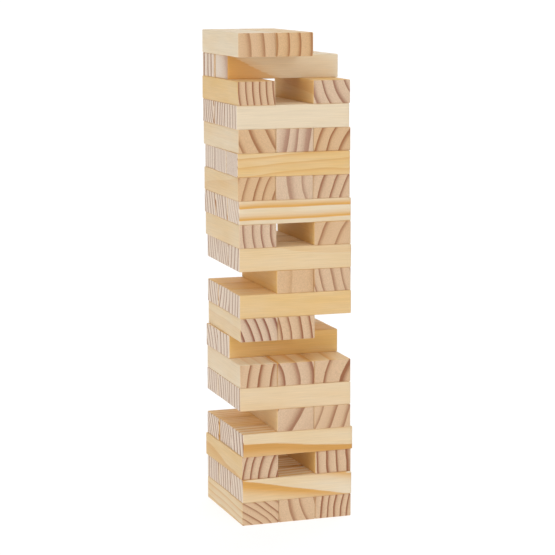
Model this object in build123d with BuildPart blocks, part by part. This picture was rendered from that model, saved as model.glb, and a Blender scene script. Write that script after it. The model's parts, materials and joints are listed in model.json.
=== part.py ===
from build123d import *
import os
from math import cos, radians, sin

# Giant tumbling tower: loose pine blocks, three to a layer, each layer lying
# across the one below. The tower stands part-way through a game, so some slots
# are open and the blocks taken from them lie on top.
#
# +Z is up and the origin is where the tower's nominal axis meets the ground.
# -Y is the front. Odd layers lie along Y, with places left, middle and right.
# Even layers lie along X, with places front, middle and back.
# Every block is its own solid, because nothing joins one block to the next.

# Driving dimensions, in millimetres
BLOCK_LENGTH = 150.0
BLOCK_THICKNESS = 30.0
SIDE_CLEARANCE = 0.3                            # between two blocks of one layer
PLACE_PITCH = BLOCK_LENGTH / 3                  # so that three blocks make a square
BLOCK_WIDTH = PLACE_PITCH - SIDE_CLEARANCE
EDGE_EASING = 1.0                               # flat taken off every edge

ODD_PLACES = ("left", "middle", "right")
EVEN_PLACES = ("front", "middle", "back")

# The stack, from the ground up. For each layer: its turn about Z in degrees, its
# drift along X and along Y, and how far each of its three blocks has slipped
# along its own length. OUT is a slot whose block has been taken out.
OUT = None
STACK = [
    (0.80, 0.8, -0.5, (0.0, 0.0, 0.5)),         # layer 1, on the ground
    (1.00, 1.0, -0.5, (0.0, 0.5, 0.0)),
    (1.50, 0.0, 0.0, (2.0, OUT, 0.5)),          # tunnel through the middle
    (1.00, 2.0, -0.5, (0.0, 0.5, -1.0)),
    (0.00, 0.0, 0.0, (OUT, 0.0, -0.5)),
    (-0.50, 0.5, 0.0, (0.0, 0.0, -0.5)),
    (-0.25, 0.5, 0.5, (0.0, -0.5, 0.5)),
    (1.00, 0.5, 0.0, (OUT, -0.5, 0.0)),
    (-0.75, 1.5, -0.5, (-0.5, 0.0, OUT)),
    (-0.60, 0.7, 0.0, (0.0, 1.0, 0.5)),
    (0.00, -0.5, 0.0, (OUT, 0.5, 0.0)),
    (-0.75, 0.5, 0.0, (0.0, 0.0, 0.5)),
    (0.00, -0.7, 0.5, (0.0, OUT, -0.5)),        # tunnel through the middle
    (0.10, -1.2, 0.5, (0.5, 0.0, -0.5)),
    (0.00, -2.0, 1.0, (0.0, -0.5, 0.0)),
    (-0.50, -1.7, 0.5, (0.0, -0.5, 0.5)),
    (0.60, -2.0, 1.0, (0.5, 0.0, 0.0)),
    (0.00, -3.3, 1.0, (0.0, 0.5, 0.0)),
    (0.90, -3.2, 1.0, (0.0, OUT, -0.5)),        # tunnel through the middle
    (1.10, -0.4, 0.5, (OUT, -0.5, -2.0)),
    (1.00, -3.1, 0.5, (0.0, 0.5, OUT)),         # layer 21, the top
]


def block_centre(turn, drift_x, drift_y, runs_along_y, place_offset, slip):
    """Where a block's centre lies in plan, once its layer is turned and drifted."""
    if runs_along_y:
        local_x, local_y = place_offset, slip
    else:
        local_x, local_y = slip, place_offset
    angle = radians(turn)
    x = drift_x + local_x * cos(angle) - local_y * sin(angle)
    y = drift_y + local_x * sin(angle) + local_y * cos(angle)
    return x, y


os.makedirs("parts", exist_ok=True)

for layer, (turn, drift_x, drift_y, slips) in enumerate(STACK, start=1):
    runs_along_y = layer % 2 == 1
    places = ODD_PLACES if runs_along_y else EVEN_PLACES
    underside = (layer - 1) * BLOCK_THICKNESS
    heading = radians(turn + (90 if runs_along_y else 0))

    for place, slip, place_number in zip(places, slips, (-1, 0, 1)):
        if slip is OUT:
            continue
        x, y = block_centre(
            turn, drift_x, drift_y, runs_along_y, place_number * PLACE_PITCH, slip
        )
        lying_plane = Plane(
            origin=(x, y, underside), x_dir=(cos(heading), sin(heading), 0), z_dir=(0, 0, 1)
        )

        with BuildPart() as block:
            with BuildSketch(lying_plane):
                Rectangle(BLOCK_LENGTH, BLOCK_WIDTH)
            extrude(amount=BLOCK_THICKNESS)
            chamfer(block.edges(), length=EDGE_EASING)

        name = f"layer{layer:02d}_{place}"
        block.part.label = name
        export_step(block.part, f"parts/{name}.step")
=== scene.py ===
import json
from dataclasses import dataclass
from math import cos, radians, sin, tan

import bpy
import bmesh
from mathutils import Matrix, Vector, noise


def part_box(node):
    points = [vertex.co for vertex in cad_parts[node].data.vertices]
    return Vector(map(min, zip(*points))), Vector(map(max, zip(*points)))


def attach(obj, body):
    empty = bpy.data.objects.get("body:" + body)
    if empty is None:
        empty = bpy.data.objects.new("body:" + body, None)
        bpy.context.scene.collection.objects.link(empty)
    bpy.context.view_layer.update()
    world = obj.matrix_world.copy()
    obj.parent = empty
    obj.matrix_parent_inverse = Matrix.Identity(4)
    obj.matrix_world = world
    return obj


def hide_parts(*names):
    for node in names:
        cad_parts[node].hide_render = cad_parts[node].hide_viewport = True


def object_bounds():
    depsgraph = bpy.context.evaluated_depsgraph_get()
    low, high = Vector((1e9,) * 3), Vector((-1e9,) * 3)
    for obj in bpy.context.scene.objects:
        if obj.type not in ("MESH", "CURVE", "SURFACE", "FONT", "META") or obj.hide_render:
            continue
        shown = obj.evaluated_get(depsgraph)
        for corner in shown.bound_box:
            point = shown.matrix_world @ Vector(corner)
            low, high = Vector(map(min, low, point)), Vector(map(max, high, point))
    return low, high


# Giant tumbling tower: loose blocks of planed radiata pine, crossed layer on layer.
# Each block is cut as a piece of one tree would be: its growth rings are solid, so
# what shows on an end carries on along the sides.

MM = 0.001
BLOCK_LENGTH = 150          # mm
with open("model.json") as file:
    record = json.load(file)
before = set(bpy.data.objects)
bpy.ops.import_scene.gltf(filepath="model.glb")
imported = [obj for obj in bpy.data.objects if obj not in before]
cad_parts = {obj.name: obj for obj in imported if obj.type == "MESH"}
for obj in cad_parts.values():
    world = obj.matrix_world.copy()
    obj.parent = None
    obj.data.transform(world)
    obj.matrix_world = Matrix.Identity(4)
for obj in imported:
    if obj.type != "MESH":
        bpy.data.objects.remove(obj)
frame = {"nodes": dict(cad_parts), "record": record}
cad_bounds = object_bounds()


# ---------------------------------------------------------------- the timber
@dataclass
class Cut:
    """How a block was cut from its tree, as seen on its near end: the front end of a
    block of an odd layer, the left end of a block of an even one."""
    heart: float            # where the pith lies from the middle: 0 right, 90 above, 180 left
    reach: float            # how far off the pith is, mm
    ring: float             # width of a year's growth, mm
    line: float             # one dark line's distance beyond the middle, away from the pith, mm
    drift: tuple = (1, 2)   # how far right and up the pith has moved by the far end, mm
    strength: float = 1.0   # how dark the summer wood is on the ends
    figure: float = 0.5     # and along the sides
    tone: float = 0.35      # 0 cream sapwood, 1 honey heartwood
    fade: float = 0.0       # how much plainer and paler the sides get towards the far end
    blush: float = 0.5      # 0 orange summer wood, 1 pinkish
    crisp: float = 0.9      # how sharply the summer wood ends
    wander: float = 0.8     # how much the rings wander


CUTS = {
    "layer01_left": Cut(231, 130, 8.5, 0, (0, 3), strength=0.95),
    "layer01_middle": Cut(18, 90, 18, -7, strength=0.65, tone=0.2),
    "layer01_right": Cut(352, 180, 9, 0, strength=1.5, blush=0.6),
    "layer02_front": Cut(196, 130, 10.5, 27.3, (0, -30), figure=1.6, tone=0.3, fade=0.6, crisp=0.4,
                         wander=0.3),
    "layer02_middle": Cut(188, 120, 9.5, 4, strength=1.2, figure=1.2),
    "layer02_back": Cut(176, 150, 8, 0, strength=1.2, figure=1.2),
    "layer03_left": Cut(345, 120, 11.7, -0.6, (-3, 1), strength=1.3, tone=0.6, blush=0.7,
                        wander=0.5),
    "layer03_right": Cut(5, 200, 14, -4.8, strength=1.2, tone=1.0, blush=0.6),
    "layer04_front": Cut(193, 150, 12, 23.9, (0, -11), strength=1.3, figure=1.0, tone=0.3,
                         blush=0.8, wander=0.25),
    "layer04_middle": Cut(200, 150, 7.5, 0, strength=1.3, figure=1.2, tone=0.7),
    "layer04_back": Cut(205, 150, 8, 2, strength=1.3, figure=1.2, tone=0.8),
    "layer05_middle": Cut(148, 200, 32, 2, tone=0.5, blush=0.7),
    "layer05_right": Cut(158, 150, 17, 2, strength=0.75),
    "layer06_front": Cut(2, 160, 11, -20.5, (0, 1), tone=0.2, wander=0.2),
    "layer06_middle": Cut(190, 90, 10, 1),
    "layer06_back": Cut(165, 120, 9, 3),
    "layer07_left": Cut(350, 150, 15.5, -0.5, strength=1.2, figure=0.25, tone=0.05, wander=0.3),
    "layer07_middle": Cut(190, 60, 20.5, 4, (4, 3), strength=1.3, figure=0.9, tone=0.6, blush=0.7,
                          crisp=0.6),
    "layer07_right": Cut(340, 110, 27.5, -14, (5, 2), strength=1.2, figure=0.9, tone=0.6),
    "layer08_middle": Cut(185, 170, 13, 17, (2, 3), tone=0.95, wander=0.3),
    "layer08_back": Cut(205, 130, 11, 1, tone=0.5),
    "layer09_left": Cut(200, 110, 11.8, 1, strength=1.7, figure=0.2, blush=1.0, wander=0.4),
    "layer09_middle": Cut(190, 150, 13.4, -6.5, strength=1.1),
    "layer10_front": Cut(175, 190, 12, 18, (0, 1), figure=0.35, tone=0.7, wander=0.3),
    "layer10_middle": Cut(160, 120, 12, 0, tone=0.9),
    "layer10_back": Cut(20, 140, 11, 3, tone=0.9),
    # Its full honey tone and golden figure are heartwood, and also painted warm shade for the bounce
    # light in the slot its left side faces.
    "layer11_middle": Cut(180, 260, 30, -3, strength=0.6, figure=1.0, tone=1.0, blush=0.2,
                          crisp=0.2),
    "layer11_right": Cut(15, 110, 12.8, 1.1, strength=0.8, tone=0.6, blush=0.6),
    "layer12_front": Cut(168, 110, 13, 19, (4, 10), figure=0.2, tone=0.4),
    "layer12_middle": Cut(20, 150, 9.5, 2),
    "layer12_back": Cut(18, 150, 10, 0),
    "layer13_left": Cut(6, 90, 12.3, -4.9, strength=0.9, figure=0.25, blush=0.9, wander=0.4),
    "layer13_right": Cut(333, 100, 20.5, -5.5, (5, 0), strength=0.85, tone=1.0, blush=0.3),
    "layer14_front": Cut(29, 150, 8.9, -24.6, (0, 1), figure=1.2, tone=0.15, crisp=0.0, wander=0.3),
    "layer14_middle": Cut(200, 140, 10, 0, strength=1.1),
    "layer14_back": Cut(195, 140, 11, 2, strength=1.1),
    "layer15_left": Cut(340, 90, 13, 3, (6, 3), strength=0.85, figure=0.25, tone=0.45, blush=0.2,
                        wander=0.6),
    "layer15_middle": Cut(10, 100, 20.5, -11, strength=0.75, tone=0.2, blush=0.9, crisp=0.7),
    "layer15_right": Cut(342, 120, 15.5, 0, strength=1.1, blush=0.6),
    "layer16_front": Cut(205, 160, 4.2, 21.4, (0, 12), strength=0.8, tone=0.7, blush=0.8,
                         wander=0.6),
    "layer16_middle": Cut(172, 160, 7, 0, strength=0.8, blush=0.8),
    "layer16_back": Cut(178, 160, 9, 3, strength=0.8, blush=0.8),
    "layer17_left": Cut(25, 160, 20, 4.5, (1, 1), strength=0.8, figure=0.1, tone=0.2, blush=0.2,
                        wander=0.4),
    "layer17_middle": Cut(170, 200, 16, 4, strength=2.2, blush=1.0, crisp=0.15),
    "layer17_right": Cut(335, 80, 16, 3, strength=1.1, blush=0.2),
    "layer18_front": Cut(182, 180, 11, 20, (0, 1), figure=0.15, tone=0.0, wander=0.2),
    "layer18_middle": Cut(352, 150, 9.5, 1, strength=1.4),
    "layer18_back": Cut(15, 70, 9, 1, strength=1.4),
    "layer19_left": Cut(5, 220, 9, -3.4, (3, 2), strength=1.2, tone=0.75, wander=0.3),
    "layer19_right": Cut(25, 120, 15, 8.5, (5, 0), strength=0.85, tone=0.9, blush=0.9),
    "layer20_middle": Cut(200, 150, 75, 26.4, (0, -72), figure=1.1, tone=0.3, fade=0.95, crisp=0.3,
                          wander=0.3),
    "layer20_back": Cut(182, 160, 14, 0, strength=1.4),
    "layer21_left": Cut(186, 170, 19, -9, figure=0.2, tone=0.05, blush=0.3, crisp=0.5, wander=0.3),
    "layer21_middle": Cut(180, 100, 15, 8.5, strength=0.85, blush=0.0, wander=0.3),
}


# ------------------------------------------------------- how each block lies
UPRIGHT = 0.1               # greatest Z of the normal of a face that stands upright


class Lie:
    """How a block lies in the tower, read from its CAD node."""

    def __init__(self, name):
        low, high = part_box(name)
        mesh = frame["nodes"][name].data
        # A block's long side is its largest upright face, so its normal points across.
        sides = [face for face in mesh.polygons if abs(face.normal.z) < UPRIGHT]
        across = max(sides, key=lambda face: face.area).normal
        along = Vector((across.y, -across.x, 0.0)).normalized()
        self.runs_along_y = abs(along.y) > abs(along.x)
        if (along.y if self.runs_along_y else along.x) < 0:
            along = -along
        self.along = along
        self.across = Vector((-along.y, along.x, 0.0))
        self.centre = (low + high) / 2
        corners = [vertex.co - self.centre for vertex in mesh.vertices]
        self.half = Vector((
            max(corner.dot(self.along) for corner in corners) - SANDED_OFF,
            max(corner.dot(self.across) for corner in corners) - SANDED_OFF,
            max(corner.z for corner in corners),
        ))

    def matrix(self):
        """Block axes to tower axes: X along the block, Y across it, Z up."""
        axes = Matrix((self.along, self.across, (0, 0, 1))).transposed().to_4x4()
        return Matrix.Translation(self.centre) @ axes


# ----------------------------------------------------------- the block's mesh
EASING = 1.1 * MM           # least radius that the sanding leaves on an edge
MID_ROUND = tan(radians(22.5))  # of the radius, where a row lies half-way round
SPAN = 6 * MM               # between two rows of the mesh on a flat
WEAR_LENGTH = 22 * MM       # how soon the sanding changes along an edge
WEAR = 0.3                  # and how much further in it goes, of the radius
WEAR_APART = (3.7, 1.3, 2.1)    # in wear lengths, so that no two blocks are worn alike
SANDED_OFF = 0.03 * MM      # off each upright face, so a turned block stays in its box


def rows(half):
    """Places of the mesh's rows across a side: two on each eased edge, even between."""
    flat = half - EASING
    count = round(2 * flat / SPAN)
    middle = [-flat + 2 * flat * step / count for step in range(count + 1)]
    eased = [flat + EASING * MID_ROUND, half]
    return [-place for place in reversed(eased)] + middle + eased


def sanded(point, half, offset):
    """Draws a point of the sharp-edged block in to where the sanding leaves it."""
    core = Vector([max(-h + EASING, min(h - EASING, p)) for p, h in zip(point, half)])
    out = point - core
    rounded = core + out.normalized() * EASING
    amount = 1 + WEAR * (1 + noise.noise(point / WEAR_LENGTH + offset))
    return point + (rounded - point) * amount


def block_mesh(name, half, board):
    """A closed skin of quads over one block, flat-faced, with worn eased edges."""
    grid = [rows(h) for h in half]
    last = [len(places) - 1 for places in grid]
    offset = Vector([board * apart for apart in WEAR_APART])
    shell = bmesh.new()
    corners = {}

    def corner(*step):
        if step not in corners:
            point = Vector([places[i] for places, i in zip(grid, step)])
            corners[step] = shell.verts.new(sanded(point, half, offset))
        return corners[step]

    for axis in range(3):
        one, two = (axis + 1) % 3, (axis + 2) % 3
        for end in (0, last[axis]):
            for i in range(last[one]):
                for j in range(last[two]):
                    ring = []
                    for di, dj in ((0, 0), (1, 0), (1, 1), (0, 1)):
                        step = [0, 0, 0]
                        step[axis], step[one], step[two] = end, i + di, j + dj
                        ring.append(corner(*step))
                    face = shell.faces.new(ring if end else ring[::-1])
                    face.smooth = True
    mesh = bpy.data.meshes.new(name)
    shell.to_mesh(mesh)
    shell.free()
    return mesh


# ------------------------------------------------------------- the material
def linear(colour):
    """An sRGB hex colour as linear RGBA."""
    parts = [int(colour[i:i + 2], 16) / 255 for i in (1, 3, 5)]
    return [p / 12.92 if p <= 0.04045 else ((p + 0.055) / 1.055) ** 2.4 for p in parts] + [1]


def add(tree, kind, *values, stops=(), **settings):
    """Adds a node. Values fill its sockets in order, and a value may be a node to link from.
    Settings are the node's own, or sockets by name."""
    made = tree.nodes.new("ShaderNode" + kind)
    by_name = {key: settings.pop(key) for key in list(settings) if key in made.inputs}
    for key, value in settings.items():
        setattr(made, key, value)
    for place, grey in stops:
        made.color_ramp.elements.new(place).color = (grey, grey, grey, 1)
    if stops:
        made.color_ramp.elements.remove(made.color_ramp.elements[0])
        made.color_ramp.elements.remove(made.color_ramp.elements[-1])
    in_use = [socket for socket in made.inputs if socket.enabled]
    filled = list(zip(in_use, values)) + [(made.inputs[key], value) for key, value in by_name.items()]
    for socket, value in filled:
        if isinstance(value, bpy.types.Node):
            value = next(output for output in value.outputs if output.enabled)
        if isinstance(value, bpy.types.NodeSocket):
            tree.links.new(value, socket)
        else:
            socket.default_value = value
    return made


# Pine's colours along the grain
CREAM = "#E7D5B8"               # sapwood
HONEY = "#E1B770"               # heartwood
GOLD = "#DDA75A"                # summer wood
TOFFEE = "#B67B38"              # the last of the summer wood

# and on a sawn end
END_TAN = "#D8B184"             # spring wood, resinous
END_PINK = "#D8BCA0"            # spring wood, aired
END_PAINTED_SHEEN = "#E6D6C4"           # either, paled by painted sheen, as end grain looks at a grazing angle
BAND_TAN = "#C4935F"            # summer wood
BAND_PINK = "#B8927A"
LATE_TAN = "#A06538"            # the last of the summer wood
LATE_PINK = "#925D45"

# How the rings run and how they show
TRUNKS_APART = (211, 97, 53)    # mm, so that no two blocks share a trunk
SWAY = 8                        # how far a ring strays over a hand's length, mm
RIPPLE = 1.2                    # and over a finger's width
UNEVEN = 0.6                    # how far a ring's place may stray, of its width
UNEVEN_OFTEN = 0.045            # how often it does, times a millimetre
FRAYED = 0.04                   # how far fibres stray over a ring's edge, of its width
SUMMER_AT = 0.95                # where in a year the wood is darkest
LUCK = (0.8, 1.15)              # how dark the summer wood is in a poor and a good year
PATCHY = 0.7                    # how far the honey tone strays
SAWN_FROM = (74.2, 74.7)        # mm from the middle, where the sawn end takes over
TOFFEE_SHOWS = 0.35             # how much of the late line shows along the sides
BAND_SHOWS = 0.75               # how much of the summer band shows on the ends
STREAKS = (0.85, 1.15)          # how dark and light the fibres are
SPECKS = (0.7, 1.3)             # how dark and light the pores are
LINE_RELIEF = 0.4               # how far the hard late wood stands up, of the fibres
ROUGH = 0.62                    # a sanded, unfinished skin
LINE_POLISH = -0.12             # the hard late wood takes the sanding better

# How the year darkens: pale spring wood, then summer wood that stops short.
SUMMER = ((0.0, 0.4), (0.03, 0.0), (0.3, 0.0), (0.6, 0.25),
          (0.8, 0.65), (0.92, 1.0), (0.98, 1.0), (1.0, 0.4))
LATE_LINE = ((0.0, 0.4), (0.025, 0.0), (0.68, 0.0), (0.83, 0.5),
             (0.91, 1.0), (0.98, 1.0), (1.0, 0.4))


def pine():
    """Radiata pine, planed and sanded, no finish: a warm matt skin with wide rings."""
    material = bpy.data.materials.new("radiata_pine_sanded")
    material.use_nodes = True
    tree = material.node_tree
    tree.nodes.clear()

    # What each block brings with it.
    heart, drift, rings, shown, wood_and_sheen, blush, board = [
        add(tree, "Attribute", attribute_type="OBJECT", attribute_name=name)
        for name in ("heart", "drift", "rings", "shown", "wood_and_sheen", "blush", "board")]
    ring, start, wander = add(tree, "SeparateXYZ", rings.outputs["Vector"]).outputs
    strength, figure, crisp = add(tree, "SeparateXYZ", shown.outputs["Vector"]).outputs
    tone, fade, painted_sheen = add(tree, "SeparateXYZ", wood_and_sheen.outputs["Vector"]).outputs
    blush = blush.outputs["Fac"]
    board = board.outputs["Fac"]

    # The place in the block, in mm, and the same place in a trunk of its own.
    place = add(tree, "TexCoord").outputs["Object"]
    spot = add(tree, "VectorMath", place, 1 / MM, operation="SCALE")
    along = add(tree, "SeparateXYZ", spot).outputs["X"]
    trunk = add(tree, "VectorMath", board, TRUNKS_APART, spot, operation="MULTIPLY_ADD")

    # Noises: ripples a millimetre along, across and up, layers of detail, roughness.
    noises = []
    for ripples, detail, rough in (
        ((0.009, 0.022, 0.022), 1, 0.5),        # sway of the trunk
        ((0.02, 0.07, 0.07), 1, 0.5),           # ripple of a ring
        ((0.025, 1.1, 1.1), 3, 0.6),            # fibres, drawn coarse enough to show
        ((0.75, 0.75, 0.75), 3, 0.65),          # pores of the end grain, drawn coarse too
        ((0.012, 0.05, 0.05), 2, 0.5),          # patches of richer wood
    ):
        scaled = add(tree, "VectorMath", trunk, ripples, operation="MULTIPLY")
        noises.append(add(tree, "TexNoise", scaled, 1, detail, rough))
    sway, ripple, fibres, pores, patches = noises

    # Years of growth: the distance from the pith, which drifts along the block.
    strayed = add(tree, "VectorMath", sway.outputs["Color"], (0, SWAY, SWAY),
                  (0, -SWAY / 2, -SWAY / 2), operation="MULTIPLY_ADD")
    strayed = add(tree, "VectorMath", ripple.outputs["Color"], (0, RIPPLE, RIPPLE), strayed,
                  operation="MULTIPLY_ADD")
    strayed = add(tree, "VectorMath", strayed, wander, operation="SCALE")
    pith = add(tree, "VectorMath", drift.outputs["Vector"], along, operation="SCALE")
    pith = add(tree, "VectorMath", pith, heart.outputs["Vector"], operation="ADD")
    off_pith = add(tree, "VectorMath", spot, strayed, operation="ADD")
    off_pith = add(tree, "VectorMath", off_pith, pith, operation="SUBTRACT")
    off_pith = add(tree, "VectorMath", off_pith, (0, 1, 1), operation="MULTIPLY")
    radius = add(tree, "VectorMath", off_pith, operation="LENGTH")
    years = add(tree, "Math", radius, ring, operation="DIVIDE")
    years = add(tree, "Math", years, start, operation="ADD")
    seed = add(tree, "Math", radius, UNEVEN_OFTEN, board, operation="MULTIPLY_ADD")
    uneven = add(tree, "TexNoise", seed, 1, 0, noise_dimensions="1D")
    uneven = add(tree, "Math", uneven, UNEVEN, operation="MULTIPLY")
    years = add(tree, "Math", uneven, wander, years, operation="MULTIPLY_ADD")
    frayed = add(tree, "Math", fibres, FRAYED, years, operation="MULTIPLY_ADD")
    season = add(tree, "Math", frayed, operation="FRACT")
    year = add(tree, "Math", years, operation="FLOOR")
    year = add(tree, "Math", year, board, operation="ADD")

    # How dark each year's summer wood is: as set on the ends, paler along the sides.
    sawn = add(tree, "Math", along, operation="ABSOLUTE")
    sawn = add(tree, "MapRange", sawn, *SAWN_FROM)
    far = add(tree, "MapRange", along, -BLOCK_LENGTH / 2, BLOCK_LENGTH / 2)
    kept = add(tree, "Math", fade, far, operation="MULTIPLY")
    kept = add(tree, "Math", kept, -1, 1, operation="MULTIPLY_ADD")
    figure = add(tree, "Math", figure, kept, operation="MULTIPLY")
    luck = add(tree, "TexWhiteNoise", year, noise_dimensions="1D")
    luck = add(tree, "MapRange", luck, 0, 1, *LUCK)
    vigour = add(tree, "Mix", sawn, figure, strength, data_type="FLOAT")
    vigour = add(tree, "Math", vigour, luck, operation="MULTIPLY")
    summer = add(tree, "ValToRGB", season, stops=SUMMER)
    summer = add(tree, "Math", summer, vigour, operation="MULTIPLY")
    line = add(tree, "ValToRGB", season, stops=LATE_LINE)
    line = add(tree, "Math", line, vigour, operation="MULTIPLY")
    line = add(tree, "Math", line, crisp, operation="MULTIPLY", use_clamp=True)

    # Along the grain: cream to honey, golden where the summer wood lies.
    honey = add(tree, "Math", tone, kept, operation="MULTIPLY")
    honey = add(tree, "Math", patches, PATCHY, honey, operation="MULTIPLY_ADD")
    honey = add(tree, "Math", honey, PATCHY / 2, operation="SUBTRACT", use_clamp=True)
    side = add(tree, "Mix", honey, linear(CREAM), linear(HONEY), data_type="RGBA")
    side = add(tree, "Mix", summer, side, linear(GOLD), data_type="RGBA")
    toffee = add(tree, "Math", line, TOFFEE_SHOWS, operation="MULTIPLY")
    side = add(tree, "Mix", toffee, side, linear(TOFFEE), data_type="RGBA")

    # Across the grain: the same rings, darker, as the light sinks into the cut fibres.
    end = add(tree, "Mix", blush, linear(END_TAN), linear(END_PINK), data_type="RGBA")
    # Painted sheen: the ends of the blocks that lie along X are paled, as end grain looks at a
    # grazing angle.
    end = add(tree, "Mix", painted_sheen, end, linear(END_PAINTED_SHEEN), data_type="RGBA")
    band = add(tree, "Mix", blush, linear(BAND_TAN), linear(BAND_PINK), data_type="RGBA")
    banded = add(tree, "Math", summer, BAND_SHOWS, operation="MULTIPLY")
    end = add(tree, "Mix", banded, end, band, data_type="RGBA")
    late = add(tree, "Mix", blush, linear(LATE_TAN), linear(LATE_PINK), data_type="RGBA")
    end = add(tree, "Mix", line, end, late, data_type="RGBA")
    colour = add(tree, "Mix", sawn, side, end, data_type="RGBA")
    streaks = add(tree, "MapRange", fibres, 0, 1, *STREAKS)
    specks = add(tree, "MapRange", pores, 0, 1, *SPECKS)
    specks = add(tree, "Mix", sawn, streaks, specks, data_type="FLOAT")
    colour = add(tree, "Mix", 1.0, colour, specks, data_type="RGBA", blend_type="MULTIPLY")

    relief = add(tree, "Math", line, LINE_RELIEF, fibres, operation="MULTIPLY_ADD")
    bump = add(tree, "Bump", Strength=0.6, Distance=0.15 * MM, Height=relief)
    shader = add(tree, "BsdfPrincipled", **{
        "Base Color": colour,
        "Roughness": add(tree, "Math", line, LINE_POLISH, ROUGH, operation="MULTIPLY_ADD"),
        "Specular IOR Level": 0.3,
        "Sheen Weight": 0.06,
        "Normal": bump,
    })
    add(tree, "OutputMaterial", shader)
    return material


# --------------------------------------------------------------- the blocks
PAINTED_SHEEN_ALONG_X = 0.95        # how far painted sheen pales the ends of the blocks that lie along X
bodies = frame["record"]["behaviour"]["bodies"]
body_of = {node: body for body, nodes in bodies.items() for node in nodes}
sanded_pine = pine()

for board, name in enumerate(sorted(frame["nodes"]), start=1):
    cut = CUTS[name]
    lie = Lie(name)
    block = bpy.data.objects.new(f"pine_{name}", block_mesh(name, lie.half, board))
    bpy.context.scene.collection.objects.link(block)
    block.matrix_world = lie.matrix()
    block.data.materials.append(sanded_pine)

    # Seen on the near end, right is the block's -Y.
    towards = Vector((0, -cos(radians(cut.heart)), sin(radians(cut.heart))))
    length = 2 * lie.half.x / MM
    drift = Vector((0, -cut.drift[0], cut.drift[1])) / length
    start = SUMMER_AT - (cut.line + cut.reach) / cut.ring - UNEVEN * cut.wander / 2
    # Painted sheen on the ends of the blocks that lie along X, and none on the others.
    painted_sheen = 0.0 if lie.runs_along_y else PAINTED_SHEEN_ALONG_X
    block["heart"] = list(towards * cut.reach + drift * length / 2)
    block["drift"] = list(drift)
    block["rings"] = [cut.ring, start, cut.wander]
    block["shown"] = [cut.strength, cut.figure, cut.crisp]
    block["wood_and_sheen"] = [cut.tone, cut.fade, painted_sheen]
    block["blush"] = cut.blush
    block["board"] = float(board)
    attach(block, body_of[name])
    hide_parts(name)


# ---------------------------------------------------- floor, light and camera
scene = bpy.context.scene
scene.view_settings.view_transform = "Standard"


def direction(azimuth, elevation):
    """Where something lies, as seen from the tower: degrees right of the front, and up."""
    a, e = radians(azimuth), radians(elevation)
    return Vector((sin(a) * cos(e), -cos(a) * cos(e), sin(e)))


FLOOR_HALF = 300.0          # m, so wide that its edge is never seen
FLOOR_GAP = 0.2 * MM        # between the floor and the underside of the tower
corners = [(x * FLOOR_HALF, y * FLOOR_HALF, -FLOOR_GAP)
           for x, y in ((-1, -1), (1, -1), (1, 1), (-1, 1))]
floor_mesh = bpy.data.meshes.new("floor")
floor_mesh.from_pydata(corners, [], [(0, 1, 2, 3)])
floor = bpy.data.objects.new("floor", floor_mesh)
scene.collection.objects.link(floor)

# White paper lit from below: even and bright, with only a trace of shadow.
paper = bpy.data.materials.new("backlit_white_paper")
paper.use_nodes = True
paper.node_tree.nodes.clear()
sheet = add(paper.node_tree, "BsdfPrincipled", **{
    "Base Color": linear("#909090"),
    "Roughness": 0.9,
    "Emission Color": linear("#FFFFFF"),
    "Emission Strength": 0.76,
})
add(paper.node_tree, "OutputMaterial", sheet)
floor_mesh.materials.append(paper)

WALL_GLOW = 0.15            # how much light the walls give
world = bpy.data.worlds.new("white_room")
scene.world = world
world.use_nodes = True
world.node_tree.nodes.clear()
# The walls look white, but give only a little light.
seen = add(world.node_tree, "LightPath").outputs["Is Camera Ray"]
brightness = add(world.node_tree, "MapRange", seen, 0, 1, WALL_GLOW, 1)
glow = add(world.node_tree, "Background", linear("#FFFFFF"), brightness)
add(world.node_tree, "OutputWorld", glow)

# Soft lights: name, strength, azimuth and elevation they shine from, softness, shadow.
# The fill casts none, so that some of it reaches into the open slots.
for name, power, azimuth, elevation, softness, shadow in (
    ("key", 0.68, 18, 14, 25, True),
    ("top", 0.9, 0, 85, 60, True),
    ("side", 0.52, -82, 20, 40, True),
    ("back", 0.9, 150, 30, 60, True),
    ("fill", 0.95, -50, 48, 60, False),
):
    lamp = bpy.data.lights.new(name, "SUN")
    lamp.energy = power
    lamp.angle = radians(softness)
    lamp.use_shadow = shadow
    light = bpy.data.objects.new(name, lamp)
    light.rotation_euler = direction(azimuth, elevation).to_track_quat("Z", "Y").to_euler()
    scene.collection.objects.link(light)

CAMERA_AZIMUTH = -18.4      # degrees to the right of the front
CAMERA_ELEVATION = 9.08     # degrees up
CAMERA_DISTANCE = 2.612     # m
AIM_HEIGHT = 0.490          # of the tower's height
FOCAL_LENGTH = 129.4        # mm
SENSOR_WIDTH = 36.0         # mm

camera_data = bpy.data.cameras.new("camera")
camera_data.lens = FOCAL_LENGTH
camera_data.sensor_width = SENSOR_WIDTH
camera = bpy.data.objects.new("camera", camera_data)
towards_camera = direction(CAMERA_AZIMUTH, CAMERA_ELEVATION)
tower_height = cad_bounds[1].z
camera.location = Vector((0, 0, AIM_HEIGHT * tower_height)) + towards_camera * CAMERA_DISTANCE
camera.rotation_euler = towards_camera.to_track_quat("Z", "Y").to_euler()
scene.collection.objects.link(camera)
scene.camera = camera
